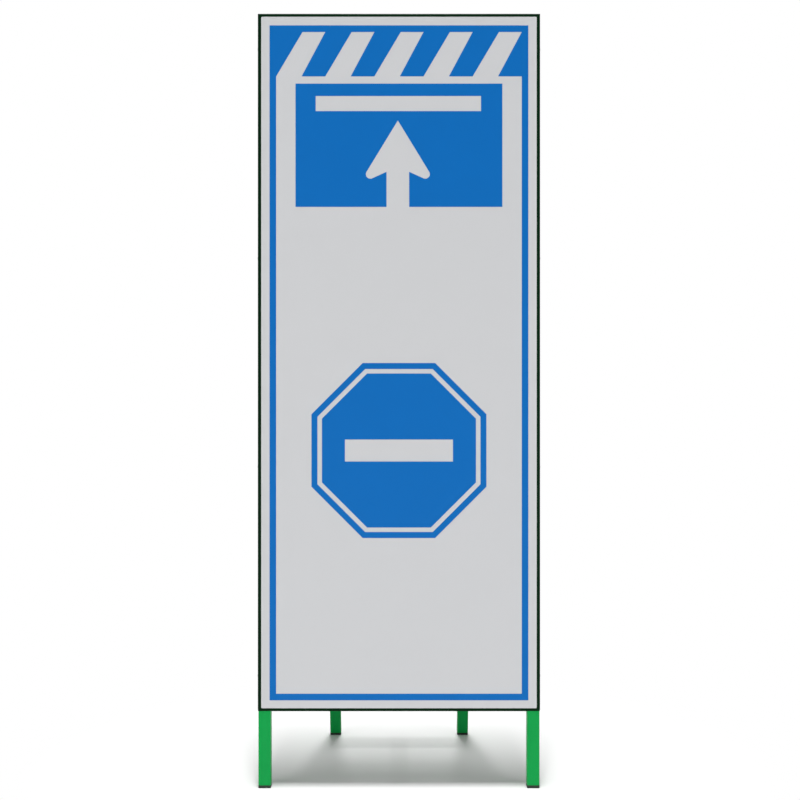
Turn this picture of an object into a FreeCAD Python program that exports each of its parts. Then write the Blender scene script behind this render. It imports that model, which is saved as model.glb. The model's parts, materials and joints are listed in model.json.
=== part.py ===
import FreeCAD, Part
import math
import os

# Folding road sign: a portrait board on a tubular front frame, held up by a hinged rear stand
# and a hooked stay. Millimetres, +Z up, the board faces -Y. The origin is on the floor, under the
# middle of the open sign.

# Board
board_width = 565.0
sign_height = 1550.0
board_bottom = 154.0
plate_thickness = 0.8
plate_bend_radius = 2.4
plate_flange_depth = 17.0
plate_fit = 0.3
corner_relief = 3.0
face_side_margin = 7.0
face_end_margin = 6.5
face_thickness = 0.3
face_corner_radius = 2.0

# Square tube of the frame and the rear legs
tube_size = 25.0
tube_wall = 1.2
tube_corner_radius = 2.4

# Heights of the frame's rails, at their middles
hinge_height = 1180.0
middle_rail_height = 800.0

# Rear stand
foot_setback = 430.0
stand_width = 319.0
leg_above_hinge = 15.0
hinge_gap = 8.0
cross_tube_diameter = 19.1
cross_tube_wall = 1.2
upper_cross_drop = 110.0
lower_cross_height = 400.0

# Hinge and stay ears, flat steel
ear_thickness = 3.0
ear_tip_radius = 12.8
ear_flank_turn = 72.0
ear_root_inset = 2.0
ear_side_clearance = 0.2
hole_clearance = 0.1

# Bolts, nuts and washers
bolt_diameter = 8.0
bolt_head_height = 5.3
bolt_flats = 13.0
hexagon_face_share = 0.97
hexagon_chamfer_angle = 30.0
bolt_end_length = 3.0
bolt_end_chamfer = 0.8
nut_height = 6.5
washer_diameter = 16.0
washer_thickness = 1.0

# Stay
stay_bar_height = 22.0
stay_bar_thickness = 4.0
stay_seat_clearance = 0.3
stay_hook_clearance = 0.4
stay_hook_width = 20.0
stay_hook_drop = 15.0
stay_hook_corner = 2.0
stay_hook_round = 5.0
stay_ear_gap_behind = 15.0

# Tube end plugs
plug_head = 6.0
plug_head_round = 1.2
plug_body_length = 18.0
plug_body_clearance = 0.4
plug_rib_depth = 1.0
plug_wall = 2.0
plug_rib_height = 2.0
plug_ribs = 3
plug_bolt_clearance = 1.0

# Blind rivets in the side folds of the plate
rivet_diameter = 4.0
rivet_hole_clearance = 0.05
rivet_head_diameter = 8.0
rivet_head_height = 1.1
rivet_face_diameter = 5.0
rivet_tail_length = 3.0
rivet_count = 4
rivet_end_margin = 70.0

# Modelling aids
overrun = 1.0
tolerance = 1e-6
X = FreeCAD.Vector(1, 0, 0)
Y = FreeCAD.Vector(0, 1, 0)
Z = FreeCAD.Vector(0, 0, 1)

# Worked out from the sizes above
plate_front = face_thickness
frame_front = plate_front + plate_thickness
frame_back = frame_front + tube_size
frame_middle = frame_front + tube_size / 2
frame_half_width = board_width / 2 - plate_thickness - plate_fit
frame_top = sign_height - plate_thickness - plate_fit
upright_x = frame_half_width - tube_size / 2
rail_half_length = frame_half_width - tube_size
bottom_rail_height = board_bottom + plate_thickness + plate_fit + tube_size / 2
top_rail_height = frame_top - tube_size / 2
hinge_y = frame_back + hinge_gap + tube_size / 2
rivet_y = frame_front + plate_flange_depth / 2

# The rear foot rests on the round front rim of its plug, whose centre line is one rim radius up
rim_offset = tube_size / 2 - plug_head_round
rim_drop = hinge_height - plug_head_round
rim_reach = math.hypot(foot_setback - hinge_y, rim_drop)
leg_length = math.sqrt(rim_reach ** 2 - rim_offset ** 2) + plug_head_round
stance_angle = math.atan2(foot_setback - hinge_y, rim_drop) + math.asin(rim_offset / rim_reach)
stance_depth = foot_setback + 2 * rim_offset * math.cos(stance_angle) + plug_head_round
centre_y = stance_depth / 2
leg_x = stand_width / 2 - tube_size / 2
cross_half_length = stand_width / 2 - tube_size
lower_cross_distance = (hinge_height - lower_cross_height) / math.cos(stance_angle)
cross_radius = cross_tube_diameter / 2
lower_cross_y = hinge_y + lower_cross_distance * math.sin(stance_angle)

# The stay's bar lies level on top of the lower cross tube
stay_height = lower_cross_height + cross_radius + stay_seat_clearance + stay_bar_height / 2
stay_pivot_y = frame_back + stay_ear_gap_behind
bolt_hole_radius = bolt_diameter / 2 + hole_clearance


def box(x0, x1, y0, y1, z0, z1):
    """A box between two corners."""
    return Part.makeBox(x1 - x0, y1 - y0, z1 - z0, FreeCAD.Vector(x0, y0, z0))


def rod(radius, start, direction, length):
    """A round bar from a start point."""
    return Part.makeCylinder(radius, length, start, direction)


def rounded_square(size, radius):
    """A square wire with round corners, in the XY plane about the origin."""
    half = size / 2
    flat = half - radius
    edges = []
    for quarter in range(4):
        turn = FreeCAD.Rotation(Z, 90 * quarter)
        side_start = turn.multVec(FreeCAD.Vector(half, -flat, 0))
        side_end = turn.multVec(FreeCAD.Vector(half, flat, 0))
        arc_middle = turn.multVec(FreeCAD.Vector(flat + radius * math.cos(math.pi / 4),
                                                 flat + radius * math.sin(math.pi / 4), 0))
        arc_end = turn.multVec(FreeCAD.Vector(flat, half, 0))
        edges.append(Part.LineSegment(side_start, side_end).toShape())
        edges.append(Part.Arc(side_end, arc_middle, arc_end).toShape())
    return Part.Wire(edges)


def square_bar(size, radius, length):
    """A solid bar of square section, with round corners if it has a radius, from the origin up +Z."""
    if radius == 0:
        return box(-size / 2, size / 2, -size / 2, size / 2, 0, length)
    return Part.Face(rounded_square(size, radius)).extrude(Z * length)


def square_tube(length):
    """The frame's tube, from the origin up +Z, open at both ends."""
    bore = square_bar(tube_size - 2 * tube_wall, tube_corner_radius - tube_wall, length)
    return square_bar(tube_size, tube_corner_radius, length).cut(bore)


def end_plug():
    """A tube end plug: its head spans z 0 to plug_head, and its ribbed body goes up the bore."""
    head = square_bar(tube_size, tube_corner_radius, plug_head)
    rim = [edge for edge in head.Edges if edge.BoundBox.ZMax < tolerance]
    head = head.makeFillet(plug_head_round, rim)
    bore_size = tube_size - 2 * tube_wall
    rib_size = bore_size - 2 * plug_body_clearance
    core_size = rib_size - 2 * plug_rib_depth
    body = square_bar(core_size, 0, plug_body_length)
    pitch = plug_body_length / plug_ribs
    for index in range(plug_ribs):
        rib = square_bar(rib_size, 0, plug_rib_height)
        rib.translate(Z * (pitch * (index + 0.5) - plug_rib_height / 2))
        body = body.fuse(rib)
    hollow = square_bar(core_size - 2 * plug_wall, 0, plug_body_length)
    body = body.cut(hollow)
    body.translate(Z * plug_head)
    return head.fuse(body).removeSplitter()


def hexagon(flats, height, start, direction):
    """A hexagonal prism, flats across, along a direction."""
    corner = flats / math.sqrt(3)
    points = []
    for index in range(7):
        angle = math.radians(60 * index)
        points.append(FreeCAD.Vector(corner * math.cos(angle), corner * math.sin(angle), 0))
    prism = Part.Face(Part.makePolygon(points)).extrude(Z * height)
    prism.Placement = FreeCAD.Placement(start, FreeCAD.Rotation(Z, direction))
    return prism


def chamfered_hexagon(flats, height, start, direction):
    """A bolt head or nut: a hexagon whose corners are turned off by a cone at its far end."""
    prism = hexagon(flats, height, start, direction)
    corner = flats / math.sqrt(3)
    turn_off = corner - flats / 2 * hexagon_face_share
    slope = turn_off * math.tan(math.radians(hexagon_chamfer_angle))
    profile = [(0, 0), (corner, 0), (corner, height - slope), (corner - turn_off, height), (0, height)]
    points = [FreeCAD.Vector(radius, 0, along) for radius, along in profile]
    cone = Part.Face(Part.makePolygon(points + points[:1])).revolve(FreeCAD.Vector(), Z, 360)
    cone.Placement = FreeCAD.Placement(start, FreeCAD.Rotation(Z, direction))
    return prism.common(cone)


def bolt(head_x, shank_length, y, z):
    """A hexagon bolt along +X: its head ends at head_x, where the shank begins."""
    start = FreeCAD.Vector(head_x, y, z)
    head = chamfered_hexagon(bolt_flats, bolt_head_height, start, X * -1)
    shank = rod(bolt_diameter / 2, start, X, shank_length)
    tip = [edge for edge in shank.Edges if edge.BoundBox.XMin > head_x + shank_length - tolerance]
    shank = shank.makeChamfer(bolt_end_chamfer, tip)
    return head.fuse(shank).removeSplitter()


def nut(start_x, y, z):
    """A hexagon nut along +X from start_x, bored to clear its bolt."""
    start = FreeCAD.Vector(start_x, y, z)
    body = chamfered_hexagon(bolt_flats, nut_height, start, X)
    return body.cut(rod(bolt_hole_radius, start, X, nut_height))


def washer(start_x, y, z):
    """A flat washer along +X from start_x."""
    start = FreeCAD.Vector(start_x, y, z)
    disc = rod(washer_diameter / 2, start, X, washer_thickness)
    return disc.cut(rod(bolt_hole_radius, start, X, washer_thickness))


def upright(side):
    """A full height tube at one edge of the frame, mitred at its top; side is -1 or 1."""
    tube = square_tube(frame_top - plug_head)
    tube.translate(FreeCAD.Vector(side * upright_x, frame_middle, plug_head))
    waste = Part.Face(Part.makePolygon([
        FreeCAD.Vector(side * frame_half_width, 0, frame_top),
        FreeCAD.Vector(side * rail_half_length, 0, frame_top - tube_size),
        FreeCAD.Vector(side * rail_half_length, 0, frame_top),
        FreeCAD.Vector(side * frame_half_width, 0, frame_top)])).extrude(Y * (frame_back + tube_size))
    return tube.cut(waste).cut(rivet_holes(side))


def rail(height, half_length):
    """A cross tube of the front frame."""
    tube = square_tube(2 * half_length)
    tube.Placement = FreeCAD.Placement(FreeCAD.Vector(-half_length, frame_middle, height),
                                       FreeCAD.Rotation(Y, 90))
    return tube


def top_rail():
    """The top cross tube, mitred at both ends to meet the uprights."""
    tube = rail(top_rail_height, frame_half_width)
    for side in (-1, 1):
        waste = Part.Face(Part.makePolygon([
            FreeCAD.Vector(side * frame_half_width, 0, frame_top),
            FreeCAD.Vector(side * rail_half_length, 0, frame_top - tube_size),
            FreeCAD.Vector(side * frame_half_width, 0, frame_top - tube_size),
            FreeCAD.Vector(side * frame_half_width, 0, frame_top)])).extrude(Y * (frame_back + tube_size))
        tube = tube.cut(waste)
    return tube


def rivet_heights():
    """Heights of the rivets along one side fold."""
    first = board_bottom + rivet_end_margin
    last = sign_height - rivet_end_margin
    return [first + (last - first) * index / (rivet_count - 1) for index in range(rivet_count)]


def rivet_holes(side):
    """The drillings through a side fold and the upright's outer wall."""
    inner = frame_half_width - tube_wall - overrun
    radius = rivet_diameter / 2 + rivet_hole_clearance
    holes = []
    for height in rivet_heights():
        start = FreeCAD.Vector(side * inner, rivet_y, height)
        holes.append(rod(radius, start, X * side, board_width / 2 - inner + overrun))
    return Part.makeCompound(holes)


def plate_rivets():
    """All the blind rivets: a low head outside the fold, and a shank that ends inside the tube."""
    tail_end = frame_half_width - tube_wall - rivet_tail_length - board_width / 2
    profile = [(0, tail_end), (rivet_diameter / 2, tail_end), (rivet_diameter / 2, 0),
               (rivet_head_diameter / 2, 0), (rivet_face_diameter / 2, rivet_head_height),
               (0, rivet_head_height), (0, tail_end)]
    outline = Part.makePolygon([FreeCAD.Vector(radius, 0, along) for radius, along in profile])
    rivet = Part.Face(outline).revolve(FreeCAD.Vector(), Z, 360)
    rivets = []
    for side in (-1, 1):
        for height in rivet_heights():
            seat = FreeCAD.Vector(side * board_width / 2, rivet_y, height)
            placed = rivet.copy()
            placed.Placement = FreeCAD.Placement(seat, FreeCAD.Rotation(Z, X * side))
            rivets.append(placed)
    return Part.makeCompound(rivets)


def sign_plate():
    """Sheet steel with four folded edges, notched where the legs pass down."""
    half = board_width / 2
    back = frame_front + plate_flange_depth
    outer = box(-half, half, plate_front, back, board_bottom, sign_height)
    front_rim = [edge for edge in outer.Edges if edge.BoundBox.YMax < plate_front + tolerance]
    outer = outer.makeFillet(plate_bend_radius, front_rim)
    inset = plate_thickness
    inner = box(-half + inset, half - inset, frame_front, back, board_bottom + inset, sign_height - inset)
    inner_rim = [edge for edge in inner.Edges if edge.BoundBox.YMax < frame_front + tolerance]
    inner = inner.makeFillet(plate_bend_radius - plate_thickness, inner_rim)
    plate = outer.cut(inner)
    fold_start = plate_front + plate_bend_radius
    for side in (-1, 1):
        near, far = sorted((side * (half - corner_relief), side * (half + overrun)))
        plate = plate.cut(box(near, far, fold_start, back, sign_height - corner_relief,
                              sign_height + overrun))
        near, far = sorted((side * (rail_half_length - plate_fit), side * (half + overrun)))
        plate = plate.cut(box(near, far, frame_front, back, board_bottom - overrun,
                              board_bottom + corner_relief))
        plate = plate.cut(rivet_holes(side))
    return plate


def reflective_sheet():
    """The reflective film on the plate, with small round corners."""
    half = board_width / 2 - face_side_margin
    sheet = box(-half, half, 0, face_thickness,
                board_bottom + face_end_margin, sign_height - face_end_margin)
    corners = [edge for edge in sheet.Edges if abs(edge.Length - face_thickness) < tolerance]
    return sheet.makeFillet(face_corner_radius, corners)


def ear(x0, height, pivot_y):
    """A drilled tab from the back of a rail to round its pivot; it spans x0 to x0 + ear_thickness."""
    turn = math.radians(ear_flank_turn)
    flank_y = pivot_y + ear_tip_radius * math.cos(turn)
    flank_half = ear_tip_radius * math.sin(turn)
    root_half = tube_size / 2 - ear_root_inset
    tip = FreeCAD.Vector(x0, pivot_y + ear_tip_radius, height)
    top = FreeCAD.Vector(x0, flank_y, height + flank_half)
    low = FreeCAD.Vector(x0, flank_y, height - flank_half)
    root_top = FreeCAD.Vector(x0, frame_back, height + root_half)
    root_low = FreeCAD.Vector(x0, frame_back, height - root_half)
    edges = [Part.LineSegment(root_low, low).toShape(), Part.Arc(low, tip, top).toShape(),
             Part.LineSegment(top, root_top).toShape(), Part.LineSegment(root_top, root_low).toShape()]
    tab = Part.Face(Part.Wire(edges)).extrude(X * ear_thickness)
    hole = rod(bolt_hole_radius, FreeCAD.Vector(x0, pivot_y, height), X, ear_thickness)
    return tab.cut(hole)


def leg_frame(shape):
    """Stands a part of the rear stand, drawn with the hinge at the origin and the leg along -Z,
    at the stance angle under the hinge."""
    stance = FreeCAD.Placement(FreeCAD.Vector(0, hinge_y, hinge_height),
                               FreeCAD.Rotation(X, math.degrees(stance_angle)))
    shape.Placement = stance.multiply(shape.Placement)
    return shape


def rear_leg(side):
    """A rear leg: the tube is drilled for the hinge bolt and ends inside its two plugs' heads."""
    length = leg_above_hinge + leg_length - plug_head
    tube = square_tube(length)
    tube.translate(FreeCAD.Vector(side * leg_x, 0, leg_above_hinge - length))
    bore = rod(bolt_hole_radius, FreeCAD.Vector(side * leg_x - tube_size, 0, 0), X, 2 * tube_size)
    return leg_frame(tube.cut(bore))


def rear_plug(side, at_top):
    """The plug at the top or the foot of a rear leg."""
    plug = end_plug()
    if at_top:
        plug.rotate(FreeCAD.Vector(), X, 180)
        plug = cut_for_bolt(plug, -leg_above_hinge - plug_head)
        plug.translate(FreeCAD.Vector(side * leg_x, 0, leg_above_hinge + plug_head))
    else:
        plug.translate(FreeCAD.Vector(side * leg_x, 0, -leg_length))
    return leg_frame(plug)


def cut_for_bolt(plug, height):
    """Cuts the end of a plug's body clear of the hinge bolt, which crosses at this height."""
    half = tube_size
    reach = bolt_diameter / 2 + plug_bolt_clearance
    return plug.cut(box(-half, half, -half, half, height - 2 * half, height + reach))


def cross_tube(distance):
    """A round tube between the rear legs, this far down them from the hinge."""
    start = FreeCAD.Vector(-cross_half_length, 0, -distance)
    length = 2 * cross_half_length
    tube = rod(cross_radius, start, X, length)
    return leg_frame(tube.cut(rod(cross_radius - cross_tube_wall, start, X, length)))


def stay_hook():
    """The stay: a flat bar, bored at the front, with a tooth behind the lower cross tube."""
    half = stay_bar_height / 2
    x0 = -stay_bar_thickness / 2
    tooth_front = lower_cross_y + cross_radius + stay_hook_clearance
    tooth_back = tooth_front + stay_hook_width
    low = stay_height - half
    eye_top = FreeCAD.Vector(x0, stay_pivot_y, stay_height + half)
    eye_front = FreeCAD.Vector(x0, stay_pivot_y - half, stay_height)
    eye_low = FreeCAD.Vector(x0, stay_pivot_y, low)
    corners = [eye_low, FreeCAD.Vector(x0, tooth_front, low),
               FreeCAD.Vector(x0, tooth_front, low - stay_hook_drop),
               FreeCAD.Vector(x0, tooth_back, low - stay_hook_drop),
               FreeCAD.Vector(x0, tooth_back, stay_height + half), eye_top]
    edges = [Part.LineSegment(start, end).toShape() for start, end in zip(corners, corners[1:])]
    edges.append(Part.Arc(eye_top, eye_front, eye_low).toShape())
    bar = Part.Face(Part.Wire(edges)).extrude(X * stay_bar_thickness)
    inner = []
    outer = []
    for edge in bar.Edges:
        box_of_edge = edge.BoundBox
        across = box_of_edge.XLength > stay_bar_thickness - tolerance and box_of_edge.YLength < tolerance
        at_root = box_of_edge.YMax < tooth_front + tolerance and box_of_edge.ZMin > low - tolerance
        if across and at_root and box_of_edge.YMin > tooth_front - tolerance:
            inner.append(edge)
        elif across and box_of_edge.YMin > tooth_front - tolerance:
            outer.append(edge.CenterOfMass)
    bar = bar.makeFillet(stay_hook_corner, inner)
    rounded = [edge for edge in bar.Edges
               if any(edge.CenterOfMass.distanceToPoint(point) < tolerance for point in outer)]
    bar = bar.makeFillet(stay_hook_round, rounded)
    eye = rod(bolt_hole_radius, FreeCAD.Vector(x0, stay_pivot_y, stay_height), X, stay_bar_thickness)
    return bar.cut(eye)


parts = {}


def add(name, shape):
    """Keeps a piece, moved so that the open sign is centred on the origin."""
    shape.translate(FreeCAD.Vector(0, -centre_y, 0))
    parts[name] = shape


for side, word in ((-1, "left"), (1, "right")):
    add(word + "_upright", upright(side))
    foot = end_plug()
    foot.translate(FreeCAD.Vector(side * upright_x, frame_middle, 0))
    add("front_foot_" + word, foot)
    add("rear_leg_" + word, rear_leg(side))
    add("leg_top_plug_" + word, rear_plug(side, True))
    add("rear_foot_" + word, rear_plug(side, False))

for name, height in (("hinge_rail", hinge_height), ("middle_rail", middle_rail_height),
                     ("stay_rail", stay_height), ("bottom_rail", bottom_rail_height)):
    add(name, rail(height, rail_half_length))
add("top_rail", top_rail())
add("sign_plate", sign_plate())
add("plate_rivets", plate_rivets())
add("reflective_sheet", reflective_sheet())
add("upper_cross_tube", cross_tube(upper_cross_drop))
add("lower_cross_tube", cross_tube(lower_cross_distance))

# Each hinge holds its leg between two ears, with a washer on each side of the leg
hinge_half_gap = tube_size / 2 + washer_thickness + ear_side_clearance
hinge_washers = []
for side, word in ((-1, "left"), (1, "right")):
    leg = side * leg_x
    low_ear = leg - hinge_half_gap - ear_thickness
    high_ear = leg + hinge_half_gap
    low_name, high_name = ("outer", "inner") if side < 0 else ("inner", "outer")
    add("hinge_ear_" + word + "_" + low_name, ear(low_ear, hinge_height, hinge_y))
    add("hinge_ear_" + word + "_" + high_name, ear(high_ear, hinge_height, hinge_y))
    head_x = low_ear
    nut_x = high_ear + ear_thickness
    shank = nut_x + nut_height + bolt_end_length - head_x
    add("hinge_bolt_" + word, bolt(head_x, shank, hinge_y, hinge_height))
    add("hinge_nut_" + word, nut(nut_x, hinge_y, hinge_height))
    hinge_washers.append(washer(low_ear + ear_thickness, hinge_y, hinge_height))
    hinge_washers.append(washer(high_ear - washer_thickness, hinge_y, hinge_height))
add("hinge_washers", Part.makeCompound(hinge_washers))

# The stay swings between two ears in the middle of its rail
stay_half_gap = stay_bar_thickness / 2 + washer_thickness + ear_side_clearance
left_ear = -stay_half_gap - ear_thickness
add("stay_ear_left", ear(left_ear, stay_height, stay_pivot_y))
add("stay_ear_right", ear(stay_half_gap, stay_height, stay_pivot_y))
stay_head_x = left_ear
stay_nut_x = stay_half_gap + ear_thickness
stay_shank = stay_nut_x + nut_height + bolt_end_length - stay_head_x
add("stay_bolt", bolt(stay_head_x, stay_shank, stay_pivot_y, stay_height))
add("stay_nut", nut(stay_nut_x, stay_pivot_y, stay_height))
add("stay_washers", Part.makeCompound([
    washer(-stay_half_gap, stay_pivot_y, stay_height),
    washer(stay_half_gap - washer_thickness, stay_pivot_y, stay_height)]))
add("stay_hook", stay_hook())

os.makedirs("parts", exist_ok=True)
for name, shape in parts.items():
    shape.exportStep("parts/" + name + ".step")
    print(name, len(shape.Solids), shape.isValid(), round(shape.Volume, 1))
print("stance angle", round(math.degrees(stance_angle), 4), "depth", round(stance_depth, 3))
print("hinge", round(hinge_y - centre_y, 3), hinge_height)
print("stay pivot", round(stay_pivot_y - centre_y, 3), round(stay_height, 3))
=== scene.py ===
import json
import math

import bmesh
import bpy
from mathutils import Matrix, Vector
from mathutils.geometry import delaunay_2d_cdt


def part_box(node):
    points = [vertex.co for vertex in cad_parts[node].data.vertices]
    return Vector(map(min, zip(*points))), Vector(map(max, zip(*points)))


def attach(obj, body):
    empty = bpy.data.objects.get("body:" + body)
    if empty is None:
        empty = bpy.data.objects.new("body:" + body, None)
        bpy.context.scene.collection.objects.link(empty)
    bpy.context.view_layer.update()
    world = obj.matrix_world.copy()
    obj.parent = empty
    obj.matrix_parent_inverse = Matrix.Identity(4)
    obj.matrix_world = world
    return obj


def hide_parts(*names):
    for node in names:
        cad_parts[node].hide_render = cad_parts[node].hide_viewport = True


# A standing folding road sign: the CAD frame with its finishes, the print on the reflective face,
# the weld beads and the bolts' threads. Metres, +Z up, the board faces -Y.

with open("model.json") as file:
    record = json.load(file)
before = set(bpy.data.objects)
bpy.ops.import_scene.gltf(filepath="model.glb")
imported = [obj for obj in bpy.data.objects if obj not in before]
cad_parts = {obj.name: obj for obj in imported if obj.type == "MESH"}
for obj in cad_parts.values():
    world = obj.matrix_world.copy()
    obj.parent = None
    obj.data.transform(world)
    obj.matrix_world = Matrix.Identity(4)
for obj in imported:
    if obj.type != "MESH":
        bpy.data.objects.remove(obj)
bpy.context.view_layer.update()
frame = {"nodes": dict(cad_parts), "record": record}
MM = 0.001

# Places read from the frame
face_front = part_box("reflective_sheet")[0][1]
rail_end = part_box("hinge_rail")[1][0]
upright_low, upright_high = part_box("right_upright")
frame_edge = upright_high[0]
frame_back = upright_high[1]
frame_top = upright_high[2]
frame_depth = frame_back - upright_low[1]

# Print on the face: sizes and places in millimetres, heights above the floor, flat_angle in radians
film_thickness = 0.12
film_gap = 0.01
cut_overrun = 1.0
point_tolerance = 0.0001
flat_angle = 0.001
border_half_width = 258.8
border_bottom = 176.4
border_top = 1526.2
border_band = 13.2
stripe_bottom = 1424.2
stripe_count = 5
stripe_top_width = 45.5
stripe_bottom_width = 50.8
panel_half_width = 206.9
panel_bottom = 1163.2
panel_top = 1409.8
halt_bar_half_width = 165.3
halt_bar_centre = -1.2
halt_bar_bottom = 1354.8
halt_bar_top = 1385.0
arrow_centre = -2.2
arrow_tip = 1336.0
arrow_wing = 55.0
arrow_wing_height = 1228.6
arrow_wing_round = 9.0
arrow_neck = 22.6
arrow_neck_height = 1233.4
arc_steps = 14
octagon_sides = 8
octagon_centre = 676.0
octagon_half_width = 175.0
octagon_margin = 12.0
octagon_line = 9.0
octagon_bar_half_width = 108.0
octagon_bar_half_height = 22.0

# Threads on the ends of the bolts, in metres, with places along the profile as shares of the pitch
bolt_radius = 4.0 * MM
thread_pitch = 1.25 * MM
thread_root = bolt_radius - 0.61 * thread_pitch
thread_root_end = 0.25
thread_crest_start = 0.5625
thread_crest_end = 0.6875
thread_steps = 24
thread_in_nut = 1.0 * MM
bolt_tip_chamfer = 0.8 * MM
merge_distance = 0.005 * MM

# Weld beads, in metres, with ripples and ends as shares of a bead's radius
weld_sides = 8
weld_size = 1.9 * MM
weld_ripple = 3.0 * MM
ripple_points = 4
ripple_height = 0.14
weld_end_share = 0.5
weld_end_growth = 0.25
weld_reach = 18.0 * MM
ear_weld_size = 1.5 * MM
ear_weld_half = 9.5 * MM

# Stage, light and camera: lengths in metres, the camera's sensor in millimetres, and the two edges
# between the room and the backdrop as the Y of a direction, from -1 to 1
floor_half_size = 30.0
shadow_reach = 0.42
white_from = 0.8
room_edge = -0.2
backdrop_edge = 0.3
white = (1.0, 1.0, 1.0, 1.0)
floor_white = (0.92, 0.92, 0.92, 1.0)
board_aim = (0, 0, 0.7)
view_width = 1.6
camera_distance = 2.681
camera_across = 2.1 * MM
camera_height = 777 * MM
camera_sensor = 36.0
camera_reach = 100.0


class Link:
    """A socket in a material, so that shader sums are written as Python sums."""

    def __init__(self, recipe, socket):
        self.recipe = recipe
        self.socket = socket

    def join(self, operation, other, swap=False):
        """A Math node on this value and another."""
        values = [other, self] if swap else [self, other]
        return self.recipe.node("ShaderNodeMath", {"operation": operation}, {0: values[0], 1: values[1]})

    def __add__(self, other):
        return self.join("ADD", other)

    def __radd__(self, other):
        return self.join("ADD", other)

    def __sub__(self, other):
        return self.join("SUBTRACT", other)

    def __rsub__(self, other):
        return self.join("SUBTRACT", other, swap=True)

    def __mul__(self, other):
        return self.join("MULTIPLY", other)

    def __rmul__(self, other):
        return self.join("MULTIPLY", other)

    def part(self, name):
        """Another output of the same node."""
        return Link(self.recipe, self.socket.node.outputs[name])


class Recipe:
    """The node tree of a material or a world being made."""

    def __init__(self, owner):
        owner.use_nodes = True
        self.owner = owner
        self.tree = owner.node_tree
        self.tree.nodes.clear()

    def node(self, kind, settings, inputs, output=0):
        """Adds a node: its settings first, then the value or link of each socket."""
        made = self.tree.nodes.new(kind)
        for name, value in settings.items():
            setattr(made, name, value)
        for name, value in inputs.items():
            socket = made.inputs[name]
            if isinstance(value, Link):
                self.tree.links.new(value.socket, socket)
            else:
                socket.default_value = value
        return Link(self, made.outputs[output])

    def place(self):
        """Where a point is on the object, in metres."""
        return self.node("ShaderNodeTexCoord", {}, {}, "Object")

    def noise(self, scale, detail, roughness=0.5):
        """Cloudy noise with this many waves to a metre."""
        return self.node("ShaderNodeTexNoise", {},
                         {"Vector": self.place(), "Scale": scale, "Detail": detail,
                          "Roughness": roughness}, "Fac")

    def blend(self, factor, first, second):
        """A mix of two colours."""
        return self.node("ShaderNodeMix", {"data_type": "RGBA"},
                         {0: factor, 6: first, 7: second}, 2)

    def bump(self, height, strength, distance, under=None):
        """A bump from a height."""
        inputs = {"Height": height, "Strength": strength, "Distance": distance}
        if under is not None:
            inputs["Normal"] = under
        return self.node("ShaderNodeBump", {}, inputs)

    def finish(self, **inputs):
        """The surface shader and the output. Socket names are written with _ for a space."""
        named = {name.replace("_", " "): value for name, value in inputs.items()}
        return self.end(self.node("ShaderNodeBsdfPrincipled", {}, named))

    def end(self, shader):
        """Sends a shader to the surface, and gives the finished material or world."""
        kind = "World" if isinstance(self.owner, bpy.types.World) else "Material"
        output = self.tree.nodes.new("ShaderNodeOutput" + kind)
        self.tree.links.new(shader.socket, output.inputs["Surface"])
        return self.owner


def new_recipe(name):
    """A new material's recipe."""
    return Recipe(bpy.data.materials.new(name))


def linear(red, green, blue):
    """A linear colour from an 8-bit display colour."""
    channels = []
    for value in (red, green, blue):
        share = value / 255
        channels.append(share / 12.92 if share <= 0.04045 else ((share + 0.055) / 1.055) ** 2.4)
    return (*channels, 1.0)


def shade(colour, factor):
    """A colour made lighter or darker."""
    return (colour[0] * factor, colour[1] * factor, colour[2] * factor, 1.0)


def enamel(name, colour, gloss_roughness, coat, gloss):
    """Sprayed enamel on steel: slow drifts of tone, a fine orange peel and a soft gloss."""
    recipe = new_recipe(name)
    drift = recipe.noise(6.0, 4.0)
    speck = recipe.noise(900.0, 2.0)
    tone = drift * 0.85 + speck * 0.15
    base = recipe.blend(tone, shade(colour, 0.88), shade(colour, 1.12))
    peel = recipe.noise(420.0, 2.0, 0.4)
    dust = recipe.noise(1800.0, 2.0)
    normal = recipe.bump(peel + dust * 0.2, 0.06, 0.0004)
    rough = gloss_roughness - 0.05 + recipe.noise(35.0, 4.0) * 0.1
    return recipe.finish(Base_Color=base, Roughness=rough, Normal=normal, Coat_Weight=coat,
                         Coat_Roughness=0.1, Specular_IOR_Level=gloss)


def film_cells(recipe, cell, wall_steepness):
    """Distance into the film's square cells, from 0 on a wall to 1."""
    depth = recipe.node("ShaderNodeTexVoronoi", {"feature": "DISTANCE_TO_EDGE"},
                        {"Vector": recipe.place(), "Scale": 1.0 / cell, "Randomness": 0.0})
    return recipe.node("ShaderNodeMath", {"operation": "MULTIPLY", "use_clamp": True},
                       {0: depth, 1: wall_steepness})


def reflective_film(name, colour, variation):
    """Reflective film: a smooth clear top over fine glass beads, with a faint cell pattern."""
    recipe = new_recipe(name)
    beads = recipe.noise(2600.0, 2.0, 0.6)
    cloud = recipe.noise(9.0, 3.0)
    tone = beads * 0.5 + cloud * 0.5
    base = recipe.blend(tone, shade(colour, 1.0 - variation), shade(colour, 1.0 + variation))
    cells = film_cells(recipe, cell=0.0035, wall_steepness=8.0)
    waves = recipe.noise(14.0, 2.0)
    fine = recipe.bump(cells, 0.05, 0.0002)
    normal = recipe.bump(waves, 0.06, 0.004, fine)
    rough = 0.3 + beads * 0.12 + cells * 0.06
    return recipe.finish(Base_Color=base, Roughness=rough, Normal=normal, Specular_IOR_Level=0.12)


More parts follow.
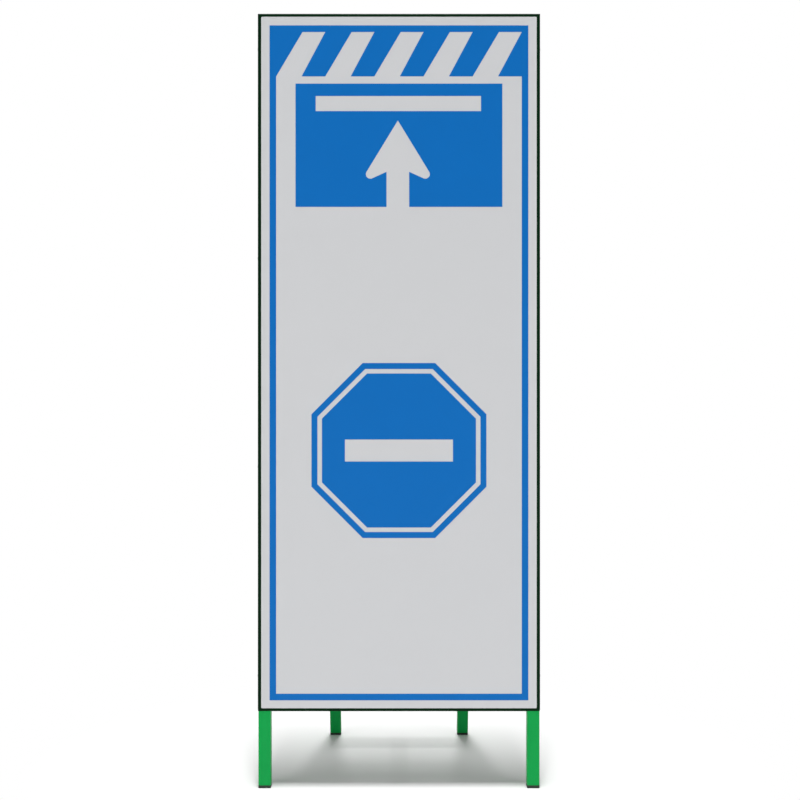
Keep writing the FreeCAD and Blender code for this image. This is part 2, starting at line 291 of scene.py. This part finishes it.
def zinc(name):
    """Bright zinc plate on steel."""
    recipe = new_recipe(name)
    grain = recipe.noise(260.0, 4.0, 0.6)
    spangle = recipe.node("ShaderNodeTexVoronoi", {"feature": "F1"},
                          {"Vector": recipe.place(), "Scale": 420.0}, "Color")
    sparkle = recipe.node("ShaderNodeSeparateColor", {}, {"Color": spangle})
    tone = grain * 0.6 + sparkle * 0.4
    base = recipe.blend(tone, (0.45, 0.46, 0.46, 1.0), (0.72, 0.73, 0.72, 1.0))
    normal = recipe.bump(grain, 0.2, 0.0002)
    rough = 0.26 + grain * 0.22
    return recipe.finish(Base_Color=base, Metallic=0.95, Roughness=rough, Normal=normal)


def aluminium(name):
    """Bare aluminium of a blind rivet, dulled by handling."""
    recipe = new_recipe(name)
    grain = recipe.noise(700.0, 4.0, 0.6)
    base = recipe.blend(grain, (0.55, 0.56, 0.57, 1.0), (0.78, 0.79, 0.8, 1.0))
    normal = recipe.bump(grain, 0.15, 0.0002)
    return recipe.finish(Base_Color=base, Metallic=1.0, Roughness=0.3 + grain * 0.2, Normal=normal)


def moulded_plastic(name, colour):
    """The end plugs' moulded plastic, with a fine spark grain."""
    recipe = new_recipe(name)
    grain = recipe.noise(1500.0, 3.0, 0.6)
    cloud = recipe.noise(40.0, 3.0)
    base = recipe.blend(cloud, shade(colour, 0.8), shade(colour, 1.25))
    normal = recipe.bump(grain, 0.25, 0.0002)
    return recipe.finish(Base_Color=base, Roughness=0.5 + grain * 0.15, Normal=normal)


def weld_paint(name, colour):
    """Enamel over a weld bead: the same green, mottled and rougher than on the tube."""
    recipe = new_recipe(name)
    scale = recipe.noise(500.0, 5.0, 0.65)
    base = recipe.blend(scale, shade(colour, 0.65), shade(colour, 1.15))
    normal = recipe.bump(scale, 0.4, 0.0006)
    return recipe.finish(Base_Color=base, Roughness=0.36 + scale * 0.12, Normal=normal,
                         Coat_Weight=0.1, Coat_Roughness=0.2, Specular_IOR_Level=0.1)


frame_green = linear(4, 156, 71)
# Painted shade: the rear stand's green is the frame green darkened for the board's shadow it stands in
stand_green_painted_shade = linear(6, 138, 62)
# Painted shade: the plate's near-black green stands for the shaded border round the reflective face
rim_green_painted_shade = linear(4, 36, 15)
face_grey = linear(203, 204, 206)
print_blue = linear(8, 105, 183)
plug_black = linear(22, 34, 26)

finishes = {
    "frame": enamel("enamel_green", frame_green, 0.34, 0.16, 0.06),
    # The stand's enamel carries that painted shade in its darker green
    "stand": enamel("enamel_stand_painted_shade", stand_green_painted_shade, 0.36, 0.14, 0.06),
    # The rim enamel's near-black green is painted shade
    "rim": enamel("enamel_rim_painted_shade", rim_green_painted_shade, 0.4, 0.04, 0.03),
    "face": reflective_film("film_light_grey", face_grey, 0.012),
    "print": reflective_film("film_blue", print_blue, 0.05),
    "zinc": zinc("zinc_plate"),
    "rivet": aluminium("rivet_aluminium"),
    "plug": moulded_plastic("plug_plastic", plug_black),
    "weld": weld_paint("weld_green", frame_green),
    # The stand's weld beads carry the same painted shade
    "stand_weld": weld_paint("weld_stand_painted_shade", stand_green_painted_shade),
}

slot_finish = {"frame_paint": "frame", "stand_paint": "stand", "plate_paint": "rim",
               "reflective_film": "face", "zinc_steel": "zinc", "rivet_aluminium": "rivet",
               "plug_plastic": "plug"}


def dress_frame():
    """Gives each CAD node the finish of its material slot."""
    for part in frame["record"]["subparts"]:
        node = frame["nodes"][part["node"]]
        node.data.materials.clear()
        node.data.materials.append(finishes[slot_finish[part["material_slot"]]])


class Artwork:
    """Flat ink shapes and cut-outs in the plane of the face, in millimetres, joined to one film."""

    def __init__(self):
        self.ink = []
        self.cut = []

    def shape(self, points, cut=False):
        """A flat shape from its corners, taken anticlockwise."""
        corners = [Vector(point) for point in points]
        turning = sum(start.cross(end) for start, end in zip(corners, corners[1:] + corners[:1]))
        if turning < 0:
            corners.reverse()
        (self.cut if cut else self.ink).append(corners)

    def block(self, left, right, low, high, cut=False):
        """A rectangle."""
        self.shape([(left, low), (right, low), (right, high), (left, high)], cut)

    def film(self, name):
        """The joined film, standing on the face."""
        points = []
        faces = []
        for outline in self.ink + self.cut:
            faces.append(list(range(len(points), len(points) + len(outline))))
            points.extend(outline)
        places, _, pieces, _, _, sources = delaunay_2d_cdt(points, [], faces, 0, point_tolerance)
        first_cut = len(self.ink)
        mesh = bmesh.new()
        back = face_front - film_gap * MM
        corners = [mesh.verts.new((place.x * MM, back, place.y * MM)) for place in places]
        for piece, source in zip(pieces, sources):
            if source and max(source) < first_cut:
                mesh.faces.new([corners[index] for index in piece])
        loose = [corner for corner in mesh.verts if not corner.link_faces]
        bmesh.ops.delete(mesh, geom=loose, context="VERTS")
        bmesh.ops.dissolve_limit(mesh, angle_limit=flat_angle, verts=mesh.verts, edges=mesh.edges,
                                 use_dissolve_boundaries=False)
        raised = bmesh.ops.extrude_face_region(mesh, geom=mesh.faces[:], use_keep_orig=True)
        front = [item for item in raised["geom"] if isinstance(item, bmesh.types.BMVert)]
        bmesh.ops.translate(mesh, verts=front, vec=(0, -film_thickness * MM, 0))
        bmesh.ops.recalc_face_normals(mesh, faces=mesh.faces)
        return piece_from(mesh, name, "print", "front_frame")


def piece_from(mesh, name, finish, body):
    """Makes a finished piece of a bmesh, which rides on a body."""
    data = bpy.data.meshes.new(name)
    mesh.to_mesh(data)
    mesh.free()
    data.materials.append(finishes[finish])
    piece = bpy.data.objects.new(name, data)
    bpy.context.scene.collection.objects.link(piece)
    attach(piece, body)
    return piece


def arc(centre_x, centre_z, radius, start, end):
    """Points on an arc, from one angle to another in degrees."""
    steps = round(abs(end - start) / 180 * arc_steps)
    turns = [math.radians(start + (end - start) * step / steps) for step in range(steps + 1)]
    return [(centre_x + radius * math.cos(turn), centre_z + radius * math.sin(turn))
            for turn in turns]


def print_border():
    """The frame line round the face and the slanted stripes in its head."""
    art = Artwork()
    inner = border_half_width - border_band
    stripe_top = border_top - border_band
    art.block(-border_half_width, border_half_width, border_bottom, border_top)
    art.block(-inner, inner, border_bottom + border_band, stripe_bottom, cut=True)
    pitch = 2 * inner / stripe_count
    for index in range(stripe_count):
        left = -inner + pitch * index
        right = left + pitch
        art.shape([(left, stripe_bottom), (left + stripe_bottom_width, stripe_bottom),
                   (right, stripe_top), (right - stripe_top_width, stripe_top)], cut=True)
    return art.film("print_border")


def print_arrow_panel():
    """The blue panel with its light halt bar and the arrow under it."""
    art = Artwork()
    art.block(-panel_half_width, panel_half_width, panel_bottom, panel_top)
    art.block(halt_bar_centre - halt_bar_half_width, halt_bar_centre + halt_bar_half_width,
              halt_bar_bottom, halt_bar_top, cut=True)
    run = arrow_tip - arrow_wing_height
    reach = math.hypot(arrow_wing, run)
    edge_turn = 180 - math.degrees(math.atan2(run, arrow_wing) + math.acos(arrow_wing_round / reach))
    neck_drop = arrow_neck_height - arrow_wing_height
    neck_reach = math.hypot(arrow_wing - arrow_neck, neck_drop)
    neck_turn = math.degrees(math.atan2(neck_drop, arrow_neck - arrow_wing)
                             + math.acos(arrow_wing_round / neck_reach)) - 360
    wing = arc(arrow_wing, arrow_wing_height, arrow_wing_round, edge_turn, neck_turn)
    half = [(0, arrow_tip)] + wing + [(arrow_neck, arrow_neck_height),
                                      (arrow_neck, panel_bottom - cut_overrun)]
    outline = [(x + arrow_centre, z) for x, z in half]
    outline += [(arrow_centre - x, z) for x, z in reversed(half[1:])]
    art.shape(outline, cut=True)
    return art.film("print_arrow_panel")


def octagon(half_width):
    """Corners of an octagon with a level top, round its place on the face."""
    radius = half_width / math.cos(math.pi / octagon_sides)
    turns = [(corner + 0.5) * 2 * math.pi / octagon_sides for corner in range(octagon_sides)]
    return [(radius * math.cos(turn), octagon_centre + radius * math.sin(turn)) for turn in turns]


def print_octagon():
    """A plain blue octagon, with a light line inside its edge and a light bar across it."""
    art = Artwork()
    art.shape(octagon(octagon_half_width))
    outer = octagon(octagon_half_width - octagon_margin)
    inner = octagon(octagon_half_width - octagon_margin - octagon_line)
    for start in range(octagon_sides):
        end = (start + 1) % octagon_sides
        art.shape([outer[start], outer[end], inner[end], inner[start]], cut=True)
    art.block(-octagon_bar_half_width, octagon_bar_half_width,
              octagon_centre - octagon_bar_half_height, octagon_centre + octagon_bar_half_height,
              cut=True)
    return art.film("print_octagon")


def whole(mesh):
    """Everything in a bmesh, for an operator."""
    return mesh.verts[:] + mesh.edges[:] + mesh.faces[:]


def threaded_end(start, tip, middle):
    """The threaded end of a bolt along X: open at its start, closed and chamfered at its tip."""
    mesh = bmesh.new()
    first = start - 2 * thread_pitch
    turns = math.ceil((tip - first) / thread_pitch) + 1
    profile = [(0, thread_root), (thread_root_end, thread_root), (thread_crest_start, bolt_radius),
               (thread_crest_end, bolt_radius), (1, thread_root)]
    corners = [mesh.verts.new((first + share * thread_pitch, middle[1], middle[2] + radius))
               for share, radius in profile]
    ridge = [mesh.edges.new(ends) for ends in zip(corners, corners[1:])]
    bmesh.ops.spin(mesh, geom=corners + ridge, cent=middle, axis=(1, 0, 0),
                   dvec=(thread_pitch / thread_steps, 0, 0), angle=2 * math.pi * turns,
                   steps=turns * thread_steps)
    bmesh.ops.remove_doubles(mesh, verts=mesh.verts, dist=merge_distance)
    for place, outward in ((start, -1), (tip, 1)):
        bmesh.ops.bisect_plane(mesh, geom=whole(mesh), plane_co=(place, 0, 0),
                               plane_no=(outward, 0, 0), clear_outer=True)
    for corner in mesh.verts:
        radius = Vector((0, corner.co.y - middle[1], corner.co.z - middle[2]))
        reach = bolt_radius - max(0.0, corner.co.x - tip + bolt_tip_chamfer)
        if radius.length > reach:
            corner.co -= radius * (1 - reach / radius.length)
    rim = [edge for edge in mesh.edges
           if edge.is_boundary and edge.verts[0].co.x > tip - merge_distance]
    bmesh.ops.contextual_create(mesh, geom=rim)
    return mesh


def threaded_bolt(node, nut):
    """A bolt of the frame, with a true thread from inside its nut to its tip."""
    low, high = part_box(node)
    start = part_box(nut)[1][0] - thread_in_nut
    middle = (0, (low[1] + high[1]) / 2, (low[2] + high[2]) / 2)
    plain = bmesh.new()
    plain.from_mesh(frame["nodes"][node].data)
    bmesh.ops.remove_doubles(plain, verts=plain.verts, dist=merge_distance)
    bmesh.ops.bisect_plane(plain, geom=whole(plain), plane_co=(start, 0, 0), plane_no=(1, 0, 0),
                           clear_outer=True)
    kept = bpy.data.meshes.new("plain_bolt")
    plain.to_mesh(kept)
    plain.free()
    mesh = threaded_end(start, high[0], middle)
    mesh.from_mesh(kept)
    bpy.data.meshes.remove(kept)
    bmesh.ops.bridge_loops(mesh, edges=[edge for edge in mesh.edges if edge.is_boundary])
    bmesh.ops.recalc_face_normals(mesh, faces=mesh.faces)
    if mesh.calc_volume(signed=True) < 0:
        bmesh.ops.reverse_faces(mesh, faces=mesh.faces)
    piece = piece_from(mesh, "threaded_" + node, "zinc", "front_frame")
    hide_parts(node)


def seam(start, end):
    """Points along a straight weld."""
    start = Vector(start)
    end = Vector(end)
    steps = round((end - start).length / weld_ripple * ripple_points)
    return [start.lerp(end, step / steps) for step in range(steps + 1)]


def round_seam(centre, radius):
    """Points round the end of a tube that lies along X, with whole ripples."""
    steps = round(2 * math.pi * radius / weld_ripple) * ripple_points
    turns = [2 * math.pi * step / steps for step in range(steps)]
    return [Vector(centre) + Vector((0, math.cos(turn), math.sin(turn))) * radius for turn in turns]


def bead(mesh, path, radius, closed=False):
    """A weld bead along a path, with the ripples that the welder's hand leaves."""
    loops = []
    for index, place in enumerate(path):
        ahead = path[(index + 1) % len(path)] if closed else path[min(index + 1, len(path) - 1)]
        behind = path[index - 1] if closed else path[max(index - 1, 0)]
        to_end = len(path) if closed else min(index, len(path) - 1 - index)
        ripple = 1.0 + ripple_height * math.cos(2 * math.pi / ripple_points * index)
        size = radius * ripple * min(1.0, weld_end_share + weld_end_growth * to_end)
        turn = (ahead - behind).to_track_quat("Z", "X").to_matrix().to_4x4()
        made = bmesh.ops.create_circle(mesh, segments=weld_sides, radius=size,
                                       matrix=Matrix.Translation(place) @ turn)
        loops.append(list({edge for corner in made["verts"] for edge in corner.link_edges}))
    pairs = list(zip(loops, loops[1:]))
    if closed:
        pairs.append((loops[-1], loops[0]))
    for first, second in pairs:
        bmesh.ops.bridge_loops(mesh, edges=first + second)
    if not closed:
        for loop in (loops[0], loops[-1]):
            bmesh.ops.contextual_create(mesh, geom=loop)


def welded(mesh, name, finish, body):
    """A finished piece of weld beads, smoothly shaded."""
    bmesh.ops.recalc_face_normals(mesh, faces=mesh.faces)
    for face in mesh.faces:
        face.smooth = True
    return piece_from(mesh, name, finish, body)


def frame_welds():
    """Beads on the frame's rail ends, mitred corners and ears."""
    mesh = bmesh.new()
    for node in ("hinge_rail", "middle_rail", "stay_rail", "bottom_rail"):
        low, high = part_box(node)
        for x in (low[0], high[0]):
            bead(mesh, seam((x, frame_back, low[2] + weld_size), (x, frame_back, high[2] - weld_size)),
                 weld_size)
            for z in (low[2], high[2]):
                bead(mesh, seam((x, frame_back - weld_reach, z), (x, frame_back, z)), weld_size)
    for side in (-1, 1):
        bead(mesh, seam((side * rail_end, frame_back, frame_top - frame_depth),
                        (side * (frame_edge - weld_size), frame_back, frame_top - weld_size)),
             weld_size)
    for node in frame["nodes"]:
        if "_ear_" in node:
            low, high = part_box(node)
            middle = (low[2] + high[2]) / 2
            for x in (low[0], high[0]):
                bead(mesh, seam((x, frame_back, middle - ear_weld_half),
                                (x, frame_back, middle + ear_weld_half)), ear_weld_size)
    return welded(mesh, "weld_beads_frame", "weld", "front_frame")


def stand_welds():
    """Beads round the ends of the rear stand's two cross tubes."""
    mesh = bmesh.new()
    for node in ("upper_cross_tube", "lower_cross_tube"):
        low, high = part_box(node)
        middle = [(least + most) / 2 for least, most in zip(low, high)]
        radius = (high[2] - low[2]) / 2
        for x in (low[0], high[0]):
            bead(mesh, round_seam((x, middle[1], middle[2]), radius), ear_weld_size, closed=True)
    return welded(mesh, "weld_beads_stand", "stand_weld", "rear_stand")


dress_frame()
print_border()
print_arrow_panel()
print_octagon()
threaded_bolt("hinge_bolt_left", "hinge_nut_left")
threaded_bolt("hinge_bolt_right", "hinge_nut_right")
threaded_bolt("stay_bolt", "stay_nut")
frame_welds()
stand_welds()


def seen_as_backdrop(recipe):
    """Two masks of the rays that look at the surroundings: the camera's, and a mirror's or a glass's."""
    rays = recipe.node("ShaderNodeLightPath", {}, {}, "Is Camera Ray")
    return rays, rays.part("Is Glossy Ray").join("MAXIMUM", rays.part("Is Transmission Ray"))


def stage_material():
    """The pale floor: it keeps the sign's shadow near the sign, and is plain white further out."""
    recipe = new_recipe("pale_floor")
    camera, mirror = seen_as_backdrop(recipe)
    away = recipe.node("ShaderNodeVectorMath", {"operation": "LENGTH"}, {0: recipe.place()}, "Value")
    fade = recipe.node("ShaderNodeMapRange", {"interpolation_type": "SMOOTHSTEP"},
                       {"Value": away, "From Min": shadow_reach, "From Max": white_from})
    near = recipe.node("ShaderNodeBsdfDiffuse", {}, {"Color": floor_white})
    far = recipe.node("ShaderNodeEmission", {}, {"Color": white})
    surface = recipe.node("ShaderNodeMixShader", {},
                          {0: fade * camera.join("MAXIMUM", mirror), 1: near, 2: far})
    return recipe.end(surface)


def build_stage():
    """The floor that the sign stands on."""
    mesh = bmesh.new()
    bmesh.ops.create_grid(mesh, x_segments=1, y_segments=1, size=floor_half_size)
    data = bpy.data.meshes.new("floor")
    mesh.to_mesh(data)
    mesh.free()
    data.materials.append(stage_material())
    floor = bpy.data.objects.new("floor", data)
    bpy.context.scene.collection.objects.link(floor)


def build_world(fill_strength, studio_strength):
    """A plain studio: white behind the sign, and a dimmer room on the camera's side."""
    recipe = Recipe(bpy.data.worlds.new("studio"))
    camera, mirror = seen_as_backdrop(recipe)
    direction = recipe.node("ShaderNodeTexCoord", {}, {}, "Generated")
    towards = recipe.node("ShaderNodeSeparateXYZ", {}, {"Vector": direction}, "Y")
    behind = recipe.node("ShaderNodeMapRange", {"interpolation_type": "SMOOTHSTEP"},
                         {"Value": towards, "From Min": room_edge, "From Max": backdrop_edge})
    dimmed = studio_strength + behind * (1.0 - studio_strength)
    seen = camera.join("MAXIMUM", dimmed)
    strength = fill_strength + camera.join("MAXIMUM", mirror) * (seen - fill_strength)
    background = recipe.node("ShaderNodeBackground", {},
                             {"Color": white, "Strength": strength})
    bpy.context.scene.world = recipe.end(background)


def area_light(name, place, aim, size, power):
    """A soft box that faces a point."""
    light = bpy.data.lights.new(name, "AREA")
    light.shape = "RECTANGLE"
    light.size, light.size_y = size
    light.energy = power
    lamp = bpy.data.objects.new(name, light)
    lamp.location = place
    lamp.rotation_euler = (Vector(aim) - Vector(place)).to_track_quat("-Z", "Y").to_euler()
    bpy.context.scene.collection.objects.link(lamp)


def build_camera():
    """Straight in front of the board, at the middle of its height, as in the photograph."""
    lens = bpy.data.cameras.new("camera")
    lens.sensor_width = camera_sensor
    lens.lens = camera_sensor * camera_distance / view_width
    lens.clip_end = camera_reach
    camera = bpy.data.objects.new("camera", lens)
    camera.location = (camera_across, face_front - camera_distance, camera_height)
    camera.rotation_euler = (math.pi / 2, 0, 0)
    bpy.context.scene.collection.objects.link(camera)
    bpy.context.scene.camera = camera


build_stage()
build_world(fill_strength=0.26, studio_strength=0.1)
area_light("key_softbox", place=(-2.9, -3.6, 1.2), aim=board_aim, size=(2.0, 1.8), power=34.5)
area_light("fill_softbox", place=(3.1, -3.3, 1.0), aim=board_aim, size=(2.0, 1.6), power=25)
area_light("top_softbox", place=(0, -1.9, 12.0), aim=(0, 0, 0), size=(1.0, 3.7), power=1340)
build_camera()
bpy.context.scene.view_settings.view_transform = "Standard"
